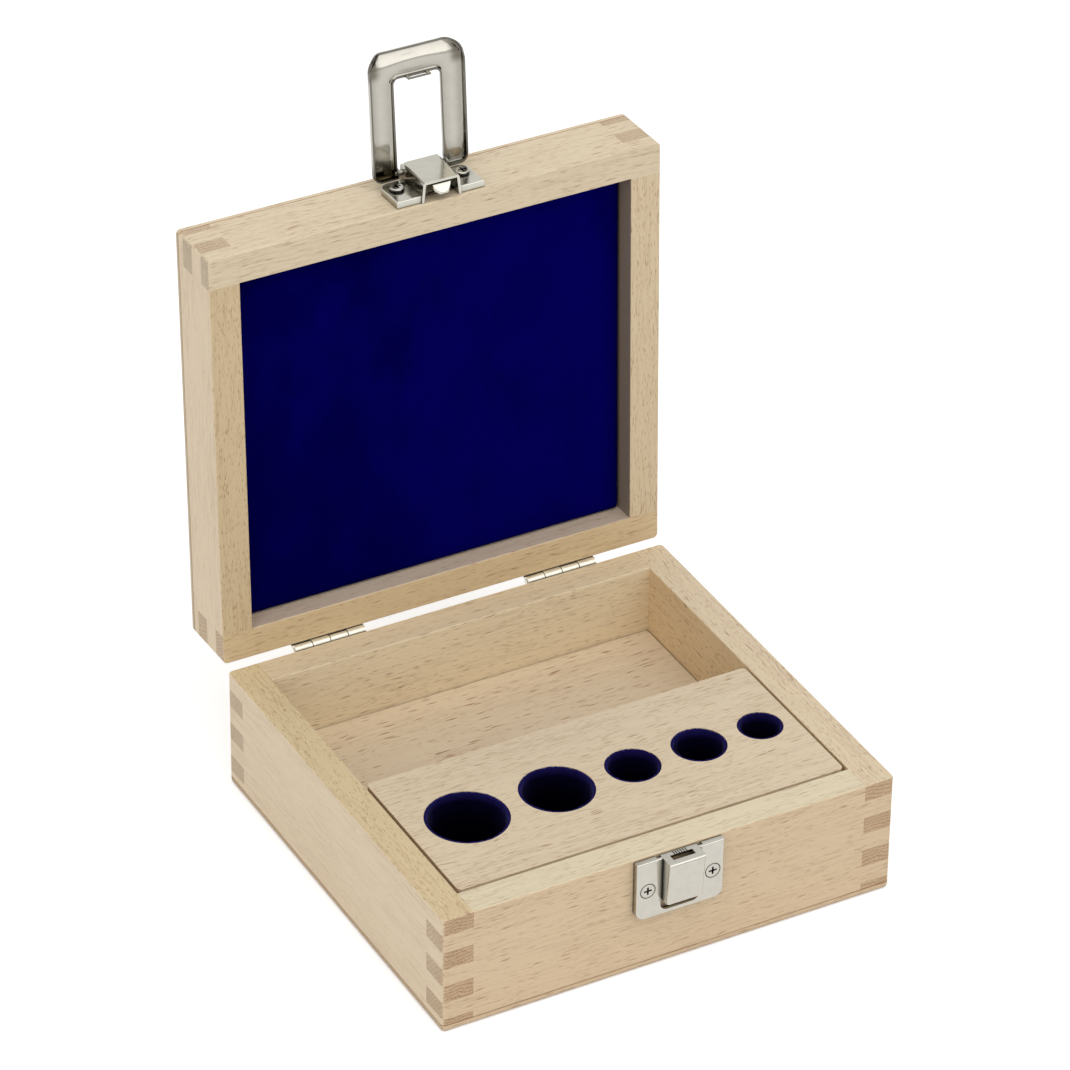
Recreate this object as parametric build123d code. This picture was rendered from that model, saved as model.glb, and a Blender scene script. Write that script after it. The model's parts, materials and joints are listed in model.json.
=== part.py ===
from build123d import *
import os
from math import radians, sin, cos

# Weight set case: a finger-jointed beech box for five knob weights, with a velvet-padded
# lid on two stop hinges and a nickel-plated bail latch. Sizes are in millimetres.
# X runs right along the front, Y runs back and Z runs up, and the origin is the centre
# of the underside. Every piece is drawn with the lid shut and the bail latched. The lid
# and the bail are then turned about their own pivots to the open pose of the part.

# The box, glued up closed and then sawn into a base and a lid
case_width = 150.0
case_depth = 139.0
wall = 10.0
panel_thickness = 2.5
base_board_height = 38.0
lid_board_height = 20.0
saw_kerf = 1.4
closed_gap = 0.3
corner_radius = 1.5
panel_edge_radius = 1.4
rim_easing = 0.4

# The finger joints, counted up from the bottom panel
first_finger = 2.4
finger_width = 6.0

# The weight block and the compartment floor, both loose inserts
insert_corner_radius = 1.5
block_gap = 0.9
block_depth = 58.2
block_below_rim = 0.1
floor_gap = 0.4
floor_thickness = 14.9

# The seats for the weights of 100, 50, 20, 20 and 10 g, from left to right
seat_diameters = (25.5, 23.0, 17.0, 17.0, 14.0)
seat_floors = (3.5, 10.5, 17.5, 17.5, 22.5)
seat_left_land = 5.9
seat_right_land = 4.0
seat_row_from_front = 30.0
velvet_thickness = 0.8
velvet_fit = 0.05

# The lid's padding
padding_below_rim = 6.2
padding_gap = 0.3

# The hinges: bent leaves in saw kerfs, with knuckles in turn on base and lid
hinge_spacing = 80.0
hinge_length = 24.0
knuckle_count = 4
knuckle_diameter = 3.0
knuckle_gap = 0.25
knuckle_clearance = 0.15
knuckle_off_wood = 0.05
hinge_below_rim = 0.6
hinge_pin_diameter = 1.4
hinge_pin_clearance = 0.05
leaf_thickness = 1.0
leaf_insert = 8.0
leaf_from_rim = 3.0
leaf_bend_radius = 0.6
leaf_kerf_clearance = 0.05
lid_open_angle = 92.0

# The latch as a whole
latch_x = 1.5
latch_sheet = 0.8
plate_width = 29.0
plate_rise = 2.3
plate_corner_radius = 3.0
plate_edge_radius = 0.5

# The keeper on the base
keeper_below_rim = 0.6
keeper_height = 20.3
keeper_box_width = 12.0
keeper_box_height = 14.9
keeper_box_reach_top = 6.8
keeper_box_reach_bottom = 5.5
keeper_box_edge_radius = 1.0
keeper_mouth_width = 13.0
keeper_mouth_radius = 2.4
keeper_foot_strip = 1.5
keeper_slot_reach = 2.1
keeper_slot_depth = 2.3
keeper_notch_width = 1.6
comb_count = 6
comb_pitch = 0.8
comb_width = 0.3
comb_length = 1.6

# The plate and housing on the lid, with depths measured up from the lid's rim
lid_plate_start = 1.0
lid_plate_height = 12.4
housing_start = 0.5
housing_length = 14.7
housing_foot_width = 13.2
housing_top_width = 11.9
housing_front_rise = 6.7
housing_back_rise = 7.6
housing_edge_radius = 1.0
housing_roof_length = 13.1

# The tongue spring inside the housing
spring_sheet = 0.6
spring_foot_start = 4.0
spring_foot_end = 11.4
spring_wing_gap = 0.4
spring_leaf_rise = 5.3
spring_bend_radius = 1.2
tongue_width = 6.6
tongue_side_gap = 0.4
tongue_bend_depth = 0.9
tongue_tip_depth = -1.3
tongue_tip_rise = 2.8

# The bail and its pin
pivot_depth = 13.5
pivot_rise = 4.5
bail_width = 31.4
bail_window_width = 15.4
bail_face_rise = 2.0
bail_flange = 2.4
bail_inner_flange = 1.5
bail_edge_radius = 1.1
bail_arm_radius = 1.6
bail_past_pivot = 2.0
bail_window_radius = 1.8
bail_bar = 3.0
bail_corner_radius = 4.5
bail_lip_length = 5.2
bail_lip_angle = 36.0
bail_lip_radius = 1.6
lug_radius = 1.7
tab_width = 8.5
tab_length = 4.0
tab_hole_width = 5.0
tab_hole_length = 1.3
hook_gap = 0.3
bail_pin_diameter = 1.6
bail_pin_clearance = 0.06
bail_pin_end = 0.2
bail_open_angle = 92.6

# The screws of the latch
screw_spacing = 21.6
screw_head_diameter = 4.5
screw_head_height = 1.1
screw_head_radius = 0.45
screw_shank_diameter = 2.2
screw_length = 8.5
screw_tip_length = 1.5
screw_tip_radius = 0.2
screw_clearance = 0.1
cross_length = 2.6
cross_width = 0.6
cross_depth = 0.8
lid_screw_depth = 8.3

# Places worked out from the sizes above
rim_z = panel_thickness + base_board_height
lid_rim_z = rim_z + closed_gap
lid_panel_z = lid_rim_z + lid_board_height
sawn_shift = saw_kerf - closed_gap
inner_width = case_width - 2 * wall
inner_depth = case_depth - 2 * wall
front_y = -case_depth / 2
back_y = case_depth / 2
hinge_y = back_y + knuckle_off_wood + knuckle_diameter / 2
hinge_z = rim_z - hinge_below_rim
keeper_top = rim_z - keeper_below_rim
keeper_bottom = keeper_top - keeper_height
keeper_middle = (keeper_top + keeper_bottom) / 2
keeper_box_bottom = keeper_top - keeper_box_height
pivot_y = front_y - pivot_rise
pivot_z = lid_rim_z + pivot_depth
tab_top = keeper_box_bottom - hook_gap
window_end = tab_top - latch_sheet
lid_screw_z = lid_rim_z + lid_screw_depth


def span(middle, width):
    """The two limits of a width about its middle."""
    return middle - width / 2, middle + width / 2


def block(x, y, z):
    """A box between its limits along X, Y and Z."""
    size = [high - low for low, high in (x, y, z)]
    middle = [(high + low) / 2 for low, high in (x, y, z)]
    return Pos(*middle) * Box(*size)


def off_front(near, far):
    """Limits along Y of a layer in front of the case, from its rises off the wood."""
    return front_y - far, front_y - near


def side_view(outline, width, middle=latch_x):
    """Push an outline drawn in Y and Z out along X to both sides of its middle."""
    return Pos(middle, 0, 0) * extrude(Plane.YZ * outline, width / 2, both=True)


def polygon(*points):
    """A flat face with straight edges."""
    return make_face(Polyline(*points, close=True))


def latch_profile(*points):
    """A face in side view, from rises off the front of the case and heights."""
    return polygon(*[(front_y - rise, height) for rise, height in points])


def rod_x(diameter, length, x, y, z):
    """A round rod along X about its middle."""
    return Pos(x, y, z) * Rot(0, 90, 0) * Cylinder(diameter / 2, length)


def finger_bands(low, high):
    """Heights in the unsawn box at which the long boards reach through to the corners."""
    bands = []
    start = panel_thickness + first_finger
    while start < high:
        band = (max(start, low), min(start + finger_width, high))
        if band[1] > band[0]:
            bands.append(band)
        start += 2 * finger_width
    return bands


def board_ring(low, high):
    """The four boards of a half as one frame, with its upright corners rounded."""
    outer = block(span(0, case_width), span(0, case_depth), (low, high))
    outer = fillet(outer.edges().filter_by(Axis.Z), corner_radius)
    return outer - block(span(0, inner_width), span(0, inner_depth), (low, high))


def wall_limits(side, outside):
    """Limits of one wall, whose side is -1 or 1, from the case's size across it."""
    return sorted((side * outside / 2, side * (outside / 2 - wall)))


def long_board(ring, side, low, high, bands):
    """The front or back share of a ring, with fingers that reach through the corners."""
    across = wall_limits(side, case_depth)
    share = block(span(0, inner_width), across, (low, high))
    for band in bands:
        share += block(span(0, case_width), across, band)
    return ring & share


def side_board(ring, side, low, high, bands):
    """The left or right share of a ring, notched where the long boards reach through."""
    across = wall_limits(side, case_width)
    share = block(across, span(0, case_depth), (low, high))
    for end in (-1, 1):
        for band in bands:
            share -= block(across, wall_limits(end, case_depth), band)
    return ring & share


def panel(low, outer_edge):
    """A thin board over the whole box, rounded along its outer edge."""
    board = block(span(0, case_width), span(0, case_depth), (low, low + panel_thickness))
    board = fillet(board.edges().filter_by(Axis.Z), corner_radius)
    return fillet(board.edges().group_by(Axis.Z)[outer_edge], panel_edge_radius)


def leaf_kerf(z):
    """The saw kerfs in a back board that take the leaves of both hinges."""
    slot = leaf_thickness + 2 * leaf_kerf_clearance
    depth = (back_y - leaf_insert - leaf_kerf_clearance, back_y)
    kerfs = Part()
    for side in (-1, 1):
        width = span(side * hinge_spacing / 2, hinge_length + 2 * leaf_kerf_clearance)
        kerfs += block(width, depth, span(z, slot))
    return kerfs


def pilot_holes(z):
    """Holes in a front board for the two screws of the keeper or the lid plate."""
    holes = Part()
    for side in (-1, 1):
        hole = Cylinder(screw_shank_diameter / 2 + screw_clearance, screw_length + screw_clearance,
                        align=(Align.CENTER, Align.CENTER, Align.MAX))
        holes += Pos(latch_x + side * screw_spacing / 2, front_y, z) * Rot(90, 0, 0) * hole
    return holes


def insert(gap, y, z):
    """A loose wooden insert across the box, with rounded upright corners."""
    board = block(span(0, inner_width - 2 * gap), y, z)
    return fillet(board.edges().filter_by(Axis.Z), insert_corner_radius)


def seat_middles():
    """X of each seat, with equal lands between them."""
    row = inner_width - 2 * block_gap - seat_left_land - seat_right_land
    land = (row - sum(seat_diameters)) / (len(seat_diameters) - 1)
    left = seat_left_land + block_gap - inner_width / 2
    middles = []
    for diameter in seat_diameters:
        middles.append(left + diameter / 2)
        left += diameter + land
    return middles


def upright(diameter, x, y, bottom, top):
    """An upright cylinder."""
    low = (Align.CENTER, Align.CENTER, Align.MIN)
    return Pos(x, y, bottom) * Cylinder(diameter / 2, top - bottom, align=low)


def velvet_cup(diameter, x, y, bottom, top):
    """A velvet liner that fills a seat's wall and floor."""
    outside = diameter - 2 * velvet_fit
    inside = outside - 2 * velvet_thickness
    cup = upright(outside, x, y, bottom, top)
    return cup - upright(inside, x, y, bottom + velvet_thickness, top)


def lid_padding():
    """The foam pad and the velvet stretched over its face and sides."""
    face = lid_rim_z + padding_below_rim
    cover_width = inner_width - 2 * padding_gap
    cover_depth = inner_depth - 2 * padding_gap
    pad = block(span(0, cover_width - 2 * velvet_thickness),
                span(0, cover_depth - 2 * velvet_thickness),
                (face + velvet_thickness, lid_panel_z))
    cover = block(span(0, cover_width), span(0, cover_depth), (face, lid_panel_z))
    return pad, cover - pad


def knuckle_span(x, index):
    """Limits along X of one knuckle of a hinge, without its share of the gaps."""
    pitch = hinge_length / knuckle_count
    left = x - hinge_length / 2 + index * pitch
    return left + knuckle_gap / 2, left + pitch - knuckle_gap / 2


def hinge_leaf(x, first, plate_z, bore):
    """A leaf: a plate in its kerf, a neck up the back of the box and every other knuckle."""
    neck_y = hinge_y - knuckle_diameter / 2 + leaf_thickness / 2
    path = FilletPolyline((back_y - leaf_insert, plate_z), (neck_y, plate_z),
                          (neck_y, hinge_z), radius=leaf_bend_radius)
    leaf = side_view(trace(path, leaf_thickness), hinge_length, x)
    reach = knuckle_diameter / 2 + knuckle_clearance
    for index in range(knuckle_count):
        left, right = knuckle_span(x, index)
        middle = (left + right) / 2
        if index % 2 == first:
            leaf += rod_x(knuckle_diameter, right - left, middle, hinge_y, hinge_z)
        else:
            gap = (left - knuckle_gap, right + knuckle_gap)
            leaf -= block(gap, span(hinge_y, 2 * reach), span(hinge_z, 2 * reach))
    return leaf - rod_x(bore, 2 * hinge_length, x, hinge_y, hinge_z)


def pressed_tray(bottom, top, round_edge):
    """A shallow tray, open to the wood, whose far corners are rounded."""
    width = span(latch_x, plate_width)
    outer = block(width, off_front(0, plate_rise), (bottom, top))
    upright_edges = outer.edges().filter_by(Axis.Y).group_by(Axis.Z)[round_edge]
    outer = fillet(upright_edges, plate_corner_radius)
    outer = fillet(outer.faces().sort_by(Axis.Y)[0].edges(), plate_edge_radius)
    inner_width_limits = span(latch_x, plate_width - 2 * latch_sheet)
    inner = block(inner_width_limits, off_front(0, plate_rise - latch_sheet),
                  (bottom + latch_sheet, top - latch_sheet))
    inner_edges = inner.edges().filter_by(Axis.Y).group_by(Axis.Z)[round_edge]
    return outer - fillet(inner_edges, plate_corner_radius - latch_sheet)


def keeper_plate():
    """The keeper: two ears, and a raised box, open below, that the bail's tab hooks under."""
    plate = pressed_tray(keeper_bottom, keeper_top, 0)
    raised = side_view(latch_profile((0, keeper_top), (keeper_box_reach_top, keeper_top),
                                     (keeper_box_reach_bottom, keeper_box_bottom),
                                     (0, keeper_box_bottom)), keeper_box_width)
    raised = fillet(raised.faces().sort_by(Axis.Y)[0].edges().group_by(Axis.Z)[1:],
                    keeper_box_edge_radius)
    inner_top = keeper_top - latch_sheet
    hollow_width = keeper_box_width - 2 * latch_sheet
    hollow = side_view(latch_profile((0, inner_top),
                                     (keeper_box_reach_top - latch_sheet, inner_top),
                                     (keeper_box_reach_bottom - latch_sheet, keeper_box_bottom),
                                     (0, keeper_box_bottom)), hollow_width)
    mouth = block(span(latch_x, keeper_mouth_width), off_front(0, plate_rise),
                  (keeper_bottom + keeper_foot_strip, keeper_box_bottom))
    mouth = fillet(mouth.edges().filter_by(Axis.Y).group_by(Axis.Z)[0], keeper_mouth_radius)
    slot = block(span(latch_x, tongue_width + 2 * tongue_side_gap),
                 off_front(keeper_slot_reach, keeper_slot_reach + keeper_slot_depth),
                 (inner_top, keeper_top))
    keeper = plate + raised - hollow - mouth - slot
    for index in range(comb_count):
        x = latch_x + (index - (comb_count - 1) / 2) * comb_pitch
        keeper -= block(span(x, comb_width),
                        off_front(keeper_slot_reach - comb_length, keeper_slot_reach),
                        (inner_top, keeper_top))
    for side in (-1, 1):
        x = latch_x + side * (keeper_box_width + keeper_notch_width) / 2
        keeper -= block(span(x, keeper_notch_width), off_front(0, plate_rise - latch_sheet),
                        (inner_top, keeper_top))
    return keeper - countersinks(keeper_middle)


def cross_recess(top):
    """The cross slots in a screw head that looks along Z."""
    slots = Part()
    for length, width in ((cross_length, cross_width), (cross_width, cross_length)):
        slots += block(span(0, length), span(0, width), (top - cross_depth, top))
    return slots


def shank(length):
    """A screw shank below its head, with a pointed end."""
    top = (Align.CENTER, Align.CENTER, Align.MAX)
    radius = screw_shank_diameter / 2
    plain = Cylinder(radius, length - screw_tip_length, align=top)
    point = Cone(screw_tip_radius, radius, screw_tip_length, align=top)
    return plain + Pos(0, 0, screw_tip_length - length) * point


def front_pair(piece, rise, z):
    """Two copies of a piece drawn along Z, turned to point out of the front of the case."""
    pair = Part()
    for side in (-1, 1):
        place = Pos(latch_x + side * screw_spacing / 2, front_y - rise, z)
        pair += place * Rot(90, 0, 0) * piece
    return pair


def countersinks(z):
    """The conical holes in the keeper's ears."""
    top = (Align.CENTER, Align.CENTER, Align.MAX)
    wide = screw_head_diameter / 2 + screw_clearance
    hole = Cone(wide - latch_sheet, wide, latch_sheet, align=top)
    return front_pair(hole, plate_rise, z)


def flush_screws(z):
    """The keeper's screws, with countersunk heads level with its ears."""
    top = (Align.CENTER, Align.CENTER, Align.MAX)
    wide = screw_head_diameter / 2
    narrow = screw_shank_diameter / 2
    head = Cone(narrow, wide, wide - narrow, align=top)
    screw = head + shank(plate_rise + screw_length) - cross_recess(0)
    return front_pair(screw, plate_rise, z)


def pan_screws(z):
    """The lid plate's screws, with pan heads that stand on its ears."""
    low = (Align.CENTER, Align.CENTER, Align.MIN)
    head = Cylinder(screw_head_diameter / 2, screw_head_height, align=low)
    head = fillet(head.edges().sort_by(Axis.Z)[-1], screw_head_radius)
    screw = head + shank(plate_rise + screw_length) - cross_recess(screw_head_height)
    return front_pair(screw, plate_rise, z)


def screw_holes(rise, thickness, z):
    """Plain holes for the screw shanks through a layer in front of the lid."""
    top = (Align.CENTER, Align.CENTER, Align.MAX)
    hole = Cylinder(screw_shank_diameter / 2 + screw_clearance, thickness, align=top)
    return front_pair(hole, rise, z)


def housing_section(inset, rise, depth):
    """The housing's arched cross-section at one depth, with its roof edges rounded outside."""
    foot = housing_foot_width / 2 - inset
    roof = housing_top_width / 2 - inset
    section = polygon((-foot, 0), (foot, 0), (roof, inset - rise), (-roof, inset - rise))
    if not inset:
        section = fillet(section.vertices().group_by(Axis.Y)[0], housing_edge_radius)
    return Pos(latch_x, front_y, lid_rim_z + depth) * section


def housing_solid(inset):
    """The housing's outside, or its inside when drawn in by the thickness of the sheet."""
    end = housing_start + housing_length
    front = housing_section(inset, housing_front_rise, housing_start)
    back = housing_section(inset, housing_back_rise, end)
    return loft([front, back])


def latch_plate():
    """The lid's part of the latch: two ears and an arched housing that is open at both ends."""
    start = lid_rim_z + lid_plate_start
    plate = pressed_tray(start, start + lid_plate_height, -1)
    wings = block(span(latch_x, housing_foot_width), off_front(0, 2 * spring_sheet),
                  (lid_rim_z + spring_foot_start - spring_wing_gap,
                   lid_rim_z + spring_foot_end + spring_wing_gap))
    roof_end = lid_rim_z + housing_start + housing_roof_length
    roof_cut = block(span(latch_x, housing_foot_width),
                     off_front(pivot_rise + lug_radius, 2 * housing_back_rise),
                     (roof_end, lid_rim_z + housing_start + housing_length))
    pin_hole = rod_x(bail_pin_diameter + 2 * bail_pin_clearance, housing_foot_width,
                     latch_x, pivot_y, pivot_z)
    body = plate + housing_solid(0) - housing_solid(latch_sheet) - wings - roof_cut - pin_hole
    return body - screw_holes(plate_rise, latch_sheet, lid_screw_z)


def front_view(outline, reach):
    """Push an outline drawn in X and Z out of the front of the case."""
    return Pos(latch_x, front_y, 0) * extrude(Plane.XZ * outline, reach)


def latch_spring():
    """The leaf spring: a winged foot under the ears, a bend, and a half-round tongue."""
    foot_rise = spring_sheet / 2
    bend = spring_foot_end + spring_sheet
    points = ((foot_rise, spring_foot_start), (foot_rise, bend), (spring_leaf_rise, bend),
              (spring_leaf_rise, tongue_bend_depth), (tongue_tip_rise, tongue_tip_depth))
    path = FilletPolyline(*[(front_y - rise, lid_rim_z + depth) for rise, depth in points],
                          radius=spring_bend_radius)
    leaf = side_view(trace(path, spring_sheet), tongue_width)
    radius = tongue_width / 2
    round_z = lid_rim_z + tongue_tip_depth + radius
    outline = Pos(0, round_z) * Circle(radius)
    outline += Pos(0, round_z + bend / 2) * Rectangle(tongue_width, bend)
    leaf = leaf & front_view(outline, 2 * spring_leaf_rise)
    wing_width = plate_width - 2 * latch_sheet - 2 * spring_wing_gap
    wings = block(span(latch_x, wing_width), off_front(0, spring_sheet),
                  (lid_rim_z + spring_foot_start, lid_rim_z + spring_foot_end))
    return leaf + wings - screw_holes(spring_sheet, spring_sheet, lid_screw_z)


def bail_frame():
    """The pressed bail: two channelled arms, a cross bar with a flared lip, and a hooked tab."""
    face = pivot_rise + bail_face_rise
    sheet_y = front_y - face + latch_sheet / 2
    top = pivot_z + bail_past_pivot
    fold = window_end - bail_bar
    join = fold + bail_lip_radius
    lip_angle = radians(bail_lip_angle)
    tip = (sheet_y - bail_lip_length * sin(lip_angle), fold - bail_lip_length * cos(lip_angle))
    rail = block(span(latch_x, bail_width), off_front(face - bail_flange, face), (join, top))
    rail = fillet(rail.edges().filter_by(Axis.Y).group_by(Axis.Z)[-1], bail_arm_radius)
    rail = fillet(rail.faces().sort_by(Axis.Y)[0].edges().sort_by(Axis.Z)[1:], bail_edge_radius)
    rail -= block(span(latch_x, bail_width - 2 * latch_sheet),
                  off_front(face - bail_flange, face - latch_sheet), (join, top))
    path = FilletPolyline((sheet_y, join), (sheet_y, fold), tip, radius=bail_lip_radius)
    lip = side_view(trace(path, latch_sheet), bail_width)
    tip_face = lip.faces().sort_by(Axis.Z)[0]
    lip = fillet(tip_face.edges().sort_by(SortBy.LENGTH)[:2], bail_corner_radius)
    bail = rail + lip
    window = Pos(0, window_end + top / 2) * Rectangle(bail_window_width, top)
    window = fillet(window.vertices().group_by(Axis.Y)[0], bail_window_radius)
    bail -= front_view(window, 2 * face)
    for side in (-1, 1):
        near = latch_x + side * bail_window_width / 2
        strip = sorted((near, near + side * latch_sheet))
        bail += block(strip, off_front(face - bail_inner_flange, face - latch_sheet),
                      (window_end + bail_window_radius, top - bail_edge_radius))
        bail += block(strip, off_front(pivot_rise, face - latch_sheet),
                      span(pivot_z, 2 * lug_radius))
        bail += rod_x(2 * lug_radius, latch_sheet, sum(strip) / 2, pivot_y, pivot_z)
    tab = block(span(latch_x, tab_width), off_front(face - tab_length, face), (window_end, tab_top))
    hole_start = face - tab_length + latch_sheet
    tab -= block(span(latch_x, tab_hole_width),
                 off_front(hole_start, hole_start + tab_hole_length), (window_end, tab_top))
    return bail + tab - bail_pin()


def bail_pin():
    """The straight pin through the bail's lugs and the housing."""
    length = bail_window_width + 2 * latch_sheet + 2 * bail_pin_end
    return rod_x(bail_pin_diameter, length, latch_x, pivot_y, pivot_z)


def turned(piece, angle, y, z):
    """A piece turned about an axis along X, towards the back over the top."""
    return Pos(0, y, z) * Rot(-angle, 0, 0) * Pos(0, -y, -z) * piece


def base_pieces():
    """Everything that stands still with the base."""
    bands = finger_bands(panel_thickness, rim_z)
    ring = board_ring(panel_thickness, rim_z)
    ring = fillet(ring.edges().group_by(Axis.Z)[-1], rim_easing)
    limits = (ring, -1, panel_thickness, rim_z, bands)
    pieces = {"front_board": long_board(*limits) - pilot_holes(keeper_middle)}
    pieces["left_board"] = side_board(*limits)
    limits = (ring, 1, panel_thickness, rim_z, bands)
    pieces["back_board"] = long_board(*limits) - leaf_kerf(rim_z - leaf_from_rim)
    pieces["right_board"] = side_board(*limits)
    pieces["bottom_panel"] = panel(0, 0)
    block_front = front_y + wall + block_gap
    block_back = block_front + block_depth
    block_top = rim_z - block_below_rim
    weight_block = insert(block_gap, (block_front, block_back), (panel_thickness, block_top))
    seat_y = block_front + seat_row_from_front
    for number, x in enumerate(seat_middles()):
        diameter = seat_diameters[number]
        bottom = panel_thickness + seat_floors[number]
        weight_block -= upright(diameter, x, seat_y, bottom, block_top)
        cup = velvet_cup(diameter, x, seat_y, bottom, block_top)
        pieces[f"velvet_cup_{number + 1}"] = cup
    pieces["weight_block"] = weight_block
    floor_limits = (block_back + floor_gap, back_y - wall - floor_gap)
    floor_top = panel_thickness + floor_thickness
    pieces["compartment_floor"] = insert(floor_gap, floor_limits, (panel_thickness, floor_top))
    pieces["keeper_plate"] = keeper_plate()
    pieces["keeper_screws"] = flush_screws(keeper_middle)
    for side, name in ((-1, "left"), (1, "right")):
        x = side * hinge_spacing / 2
        pieces[f"hinge_base_leaf_{name}"] = hinge_leaf(x, 0, rim_z - leaf_from_rim,
                                                       hinge_pin_diameter)
        pieces[f"hinge_pin_{name}"] = rod_x(hinge_pin_diameter, hinge_length,
                                            x, hinge_y, hinge_z)
    return pieces


def lid_pieces():
    """Everything that swings with the lid, drawn shut."""
    bands = [(low - sawn_shift, high - sawn_shift)
             for low, high in finger_bands(rim_z + saw_kerf, lid_panel_z + sawn_shift)]
    ring = board_ring(lid_rim_z, lid_panel_z)
    ring = fillet(ring.edges().group_by(Axis.Z)[0], rim_easing)
    limits = (ring, -1, lid_rim_z, lid_panel_z, bands)
    pieces = {"lid_front_board": long_board(*limits) - pilot_holes(lid_screw_z)}
    pieces["lid_left_board"] = side_board(*limits)
    limits = (ring, 1, lid_rim_z, lid_panel_z, bands)
    pieces["lid_back_board"] = long_board(*limits) - leaf_kerf(lid_rim_z + leaf_from_rim)
    pieces["lid_right_board"] = side_board(*limits)
    pieces["lid_top_panel"] = panel(lid_panel_z, -1)
    pieces["lid_pad"], pieces["lid_velvet"] = lid_padding()
    pieces["latch_plate"] = latch_plate()
    pieces["latch_spring"] = latch_spring()
    pieces["latch_screws"] = pan_screws(lid_screw_z)
    bore = hinge_pin_diameter + 2 * hinge_pin_clearance
    for side, name in ((-1, "left"), (1, "right")):
        x = side * hinge_spacing / 2
        pieces[f"hinge_lid_leaf_{name}"] = hinge_leaf(x, 1, lid_rim_z + leaf_from_rim, bore)
    return pieces


def opened(pieces):
    """The lid's pieces turned open about the hinges."""
    return {name: turned(piece, lid_open_angle, hinge_y, hinge_z)
            for name, piece in pieces.items()}


def build():
    """Every piece of the part by name, in the open pose."""
    bail = {"bail_frame": bail_frame(), "bail_pin": bail_pin()}
    bail = {name: turned(piece, bail_open_angle, pivot_y, pivot_z)
            for name, piece in bail.items()}
    return base_pieces() | opened(lid_pieces()) | opened(bail)


os.makedirs("parts", exist_ok=True)
for name, piece in build().items():
    export_step(piece, f"parts/{name}.step")

pivot = turned(Vertex(latch_x, pivot_y, pivot_z), lid_open_angle, hinge_y, hinge_z).center()
print("lid hinge axis at", hinge_y, hinge_z)
print("bail pivot, with the lid open, at", round(pivot.X, 4), round(pivot.Y, 4), round(pivot.Z, 4))
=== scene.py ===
# %% [markdown]
# # A beech weight set case
#
# The case is a small finger-jointed box of beech with a velvet-padded lid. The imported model
# already holds every board, hinge leaf and latch part at its true size, in metres. This file
# gives them their finishes. It models again what a solid can only stand in for: the soft parts,
# and the bail with its thin rolled sheet.
# Each cell builds one thing and prints what it made, so it can be read and run from the top.

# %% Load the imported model
import json
from math import cos, radians, sin

import bpy
from mathutils import Euler, Matrix, Quaternion, Vector


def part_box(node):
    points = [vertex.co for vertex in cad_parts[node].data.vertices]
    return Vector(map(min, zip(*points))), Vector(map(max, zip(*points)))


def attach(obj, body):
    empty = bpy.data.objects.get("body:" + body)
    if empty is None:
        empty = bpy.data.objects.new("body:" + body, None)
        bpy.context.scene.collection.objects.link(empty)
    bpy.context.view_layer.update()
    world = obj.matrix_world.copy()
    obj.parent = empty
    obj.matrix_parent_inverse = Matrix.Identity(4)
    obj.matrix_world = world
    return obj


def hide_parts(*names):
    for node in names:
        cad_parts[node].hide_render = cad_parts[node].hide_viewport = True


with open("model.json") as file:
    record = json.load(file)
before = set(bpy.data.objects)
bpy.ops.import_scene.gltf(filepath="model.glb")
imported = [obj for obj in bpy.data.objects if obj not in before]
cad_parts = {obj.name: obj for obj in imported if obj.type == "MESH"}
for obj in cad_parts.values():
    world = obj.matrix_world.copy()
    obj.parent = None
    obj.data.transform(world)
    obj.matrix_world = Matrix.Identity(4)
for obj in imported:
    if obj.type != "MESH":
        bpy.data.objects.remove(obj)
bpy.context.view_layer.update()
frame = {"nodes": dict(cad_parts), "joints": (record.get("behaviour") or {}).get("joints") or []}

# %% [markdown]
# ## The camera
#
# The picture was taken with a long lens from the left, about 34 degrees above the bench. A long
# lens keeps the box's edges nearly parallel, as product pictures do. The numbers below come
# from matching the corners and joints of the box, so they are typed in and not guessed by eye.
# The small roll turns the camera about its own line of sight.

# %% Place the camera
downward, from_left, rolled = 33.731, 28.936, 0.795
camera_data = bpy.data.cameras.new("photo camera")
camera = bpy.data.objects.new("photo camera", camera_data)
bpy.context.scene.collection.objects.link(camera)
bpy.context.scene.camera = camera

camera_data.sensor_width = 36.0
camera_data.lens = 195.648
camera_data.clip_start = 0.1
camera_data.clip_end = 20.0
camera.location = (-0.68674, -1.22689, 1.04662)
look = Euler((radians(90.0 - downward), 0.0, radians(-from_left))).to_quaternion()
roll = Quaternion((0.0, 0.0, 1.0), radians(rolled))
camera.rotation_euler = (look @ roll).to_euler()
print("camera", [round(v, 3) for v in camera.location], "lens", camera_data.lens)

# %% [markdown]
# ## The floor and the light
#
# Product pictures of light wood are taken in a bright tent: light comes from all sides, a little
# more from above and from the left. A white world gives the even light, and three soft lamps
# give the faces their small differences. The floor is a plain pale sheet. It looks white in the
# picture because it adds a little light of its own for the camera and for reflections alone, and
# so the case's own shadow still shows on it.
#
# A finish is a tree of nodes, and so is the light of the world. The helpers add a node, link it,
# and do one step of arithmetic, so that a tree can be written down in a few lines.

# %% Helpers for shader nodes
def add_node(tree, kind, **settings):
    """A new node with its settings. Values of its inputs are given as a dict called inputs."""
    node = tree.nodes.new(kind)
    inputs = settings.pop("inputs", {})
    for name, value in settings.items():
        setattr(node, name, value)
    for name, value in inputs.items():
        node.inputs[name].default_value = value
    return node


def join(tree, *pairs):
    """Link outputs to inputs, two at a time."""
    for out, into in zip(pairs[::2], pairs[1::2]):
        tree.links.new(out, into)


def feed(tree, value, into):
    """Give an input its value, which is plain or another node's output."""
    if isinstance(value, bpy.types.NodeSocket):
        tree.links.new(value, into)
    else:
        into.default_value = value


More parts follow.
